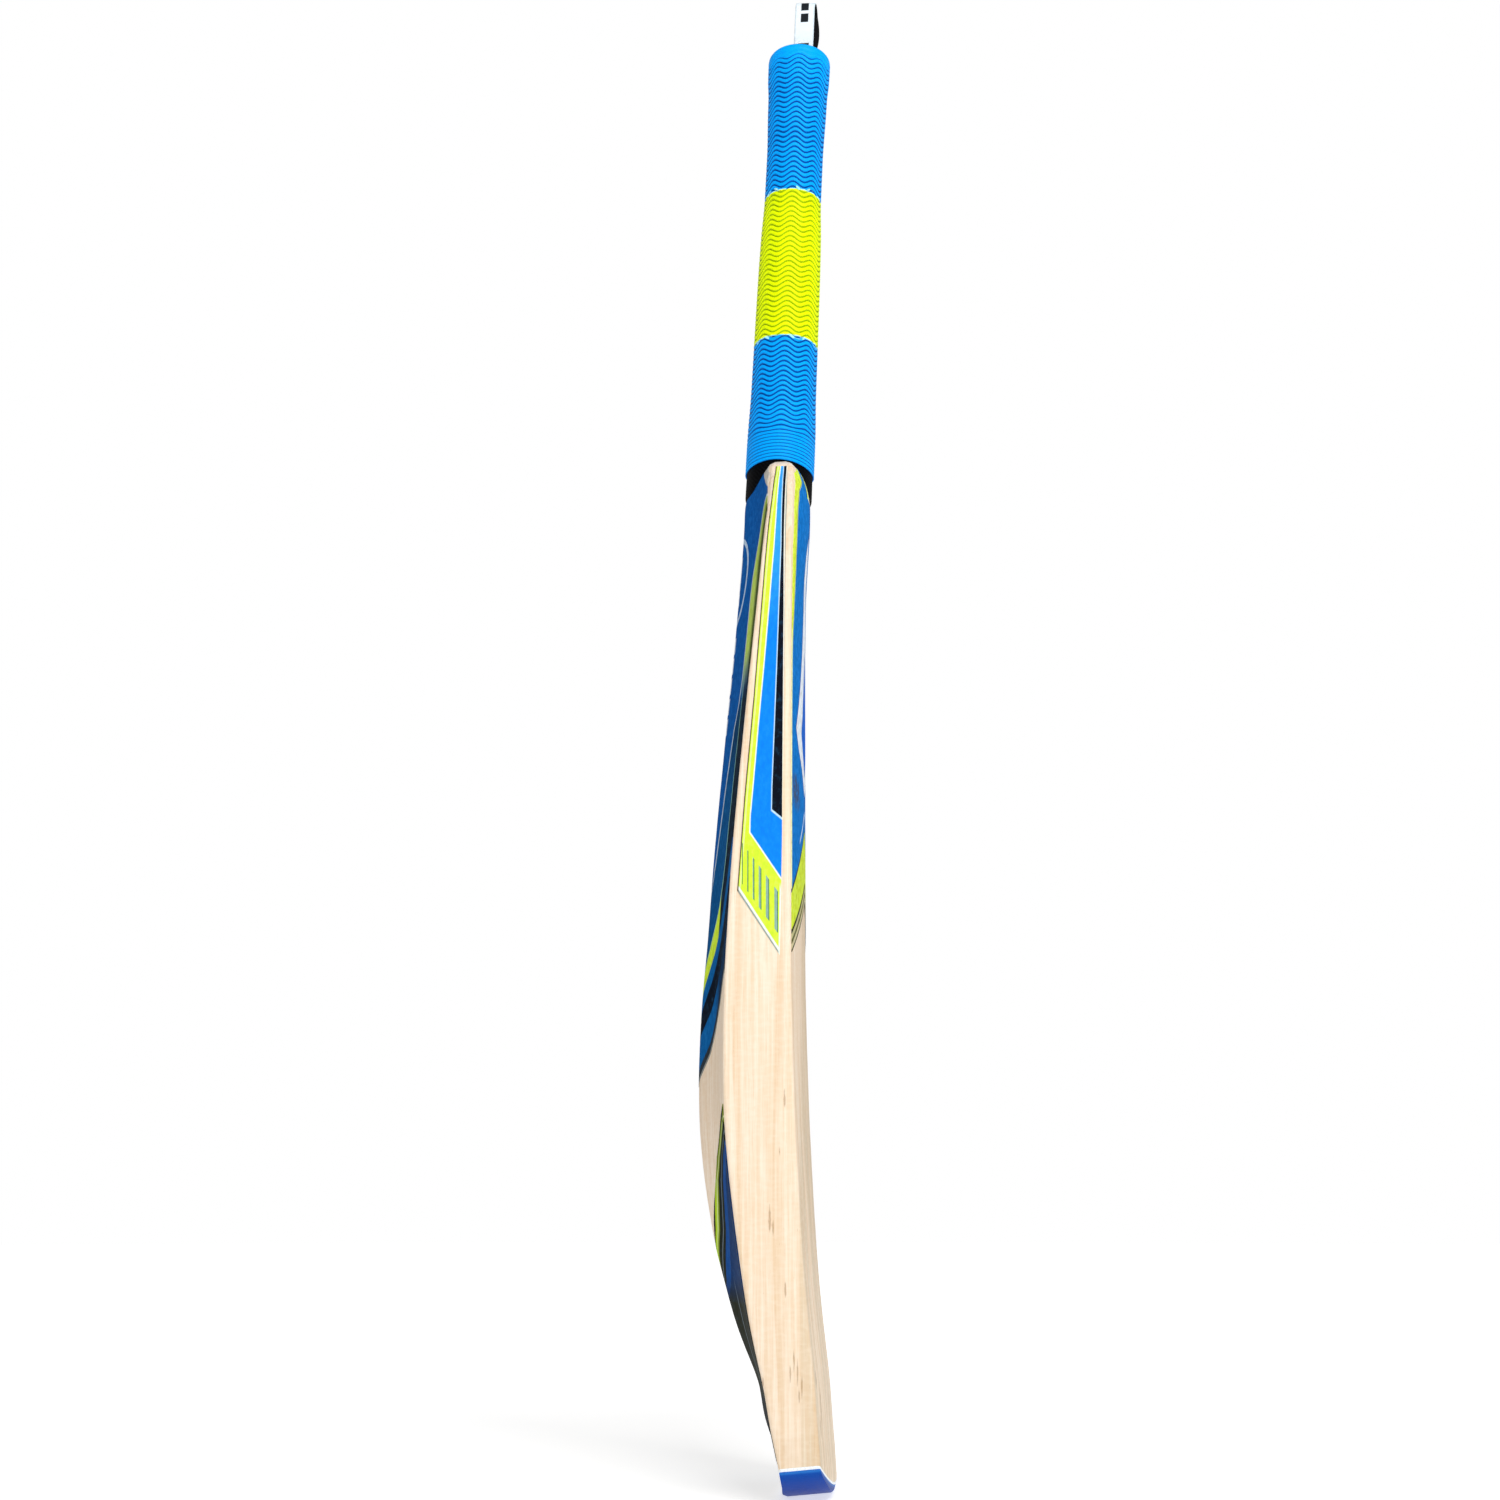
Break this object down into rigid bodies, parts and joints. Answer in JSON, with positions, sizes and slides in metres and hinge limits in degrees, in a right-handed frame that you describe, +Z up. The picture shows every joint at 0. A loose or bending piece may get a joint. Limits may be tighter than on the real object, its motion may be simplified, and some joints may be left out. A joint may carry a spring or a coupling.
{
  "type": "cricket bat",
  "caption": "Full-size cricket bat: willow blade with a raised spine and bowed face, spliced cane handle, ribbed rubber grip, hanging loop and rubber toe guard.",
  "frame": {"origin": "middle of the flat under the toe guard, where the bat is tapped on the ground", "axes": "+Z up along the bat from the toe to the handle, hitting face towards -Y, spine towards +Y, +X across the width"},
  "size_m": [0.1086, 0.0783, 0.8805],
  "materials": {
    "willow": "satin, oiled and pressed willow",
    "cane": "satin",
    "spring_rubber": "matte",
    "twine": "waxed twine",
    "grip_blue": "satin, ribbed",
    "grip_yellow": "satin, ribbed",
    "loop_ribbon": "woven ribbon",
    "toe_rubber": "satin",
    "toe_bead": "satin",
    "edge_film": "printed film, three-colour bands",
    "face_film": "printed film",
    "back_film": "printed film"
  },
  "bodies": {
    "root": {"blade": "willow", "cane_1_left": "cane", "cane_1_middle": "cane", "cane_1_right": "cane", "cane_2_left": "cane", "cane_2_middle": "cane", "cane_2_right": "cane", "cane_3_left": "cane", "cane_3_middle": "cane", "cane_3_right": "cane", "cane_4_left": "cane", "cane_4_middle": "cane", "cane_4_right": "cane", "rubber_spring_1": "spring_rubber", "rubber_spring_2": "spring_rubber", "rubber_spring_3": "spring_rubber", "handle_binding": "twine", "grip_upper": "grip_blue", "grip_middle": "grip_yellow", "grip_lower": "grip_blue", "hang_loop": "loop_ribbon", "toe_guard": "toe_rubber", "toe_guard_bead": "toe_bead", "edge_sticker_left": "edge_film", "edge_sticker_right": "edge_film", "face_sticker": "face_film", "back_sticker_upper": "back_film", "back_sticker_lower": "back_film"}
  },
  "joints": []
}
